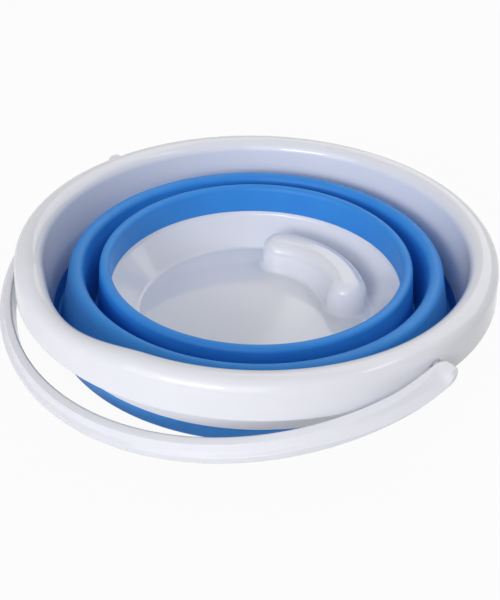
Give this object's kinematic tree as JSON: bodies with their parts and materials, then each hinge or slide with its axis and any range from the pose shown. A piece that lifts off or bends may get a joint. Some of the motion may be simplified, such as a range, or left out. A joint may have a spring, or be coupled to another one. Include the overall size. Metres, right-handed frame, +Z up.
{
  "type": "collapsible camp bucket",
  "caption": "Round folding bucket: white rolled rim with a pouring lip and base bowl joined by a soft blue pleated wall, with a swinging bail handle and a finger recess under the floor.",
  "frame": {"origin": "on the bucket's axis, in the plane it stands on (the foot ring's lower face; the underside inside the ring is 0.8 mm higher)", "axes": "+Z up along the bucket's axis, +X along the handle's pivot axis; the folded handle lies towards -Y and the finger recess is on the +Y side"},
  "size_m": [0.3498, 0.3301, 0.0639],
  "materials": {
    "hard_white": "gloss",
    "soft_blue": "satin"
  },
  "bodies": {
    "base": {"base_bowl": "hard_white", "wall_inner_band": "soft_blue"},
    "ring": {"wall_middle_band": "soft_blue", "wall_inner_fold": "soft_blue"},
    "rim": {"rim": "hard_white", "wall_outer_band": "soft_blue", "wall_outer_fold": "soft_blue"},
    "handle": {"bail_handle": "hard_white"}
  },
  "joints": [
    {"name": "lower_wall_slide", "type": "slide", "parent": "base", "child": "ring", "axis": [0, 0, 1], "range_m": [0, 0.0874], "deforming": ["wall_inner_fold"]},
    {"name": "upper_wall_slide", "type": "slide", "parent": "ring", "child": "rim", "axis": [0, 0, 1], "range_m": [0, 0.0874], "deforming": ["wall_outer_fold"]},
    {"name": "handle_hinge", "type": "hinge", "parent": "rim", "child": "handle", "pos_m": [0, 0, 0.0506], "axis": [-1, 0, 0], "range_deg": [0, 205.6]}
  ]
}
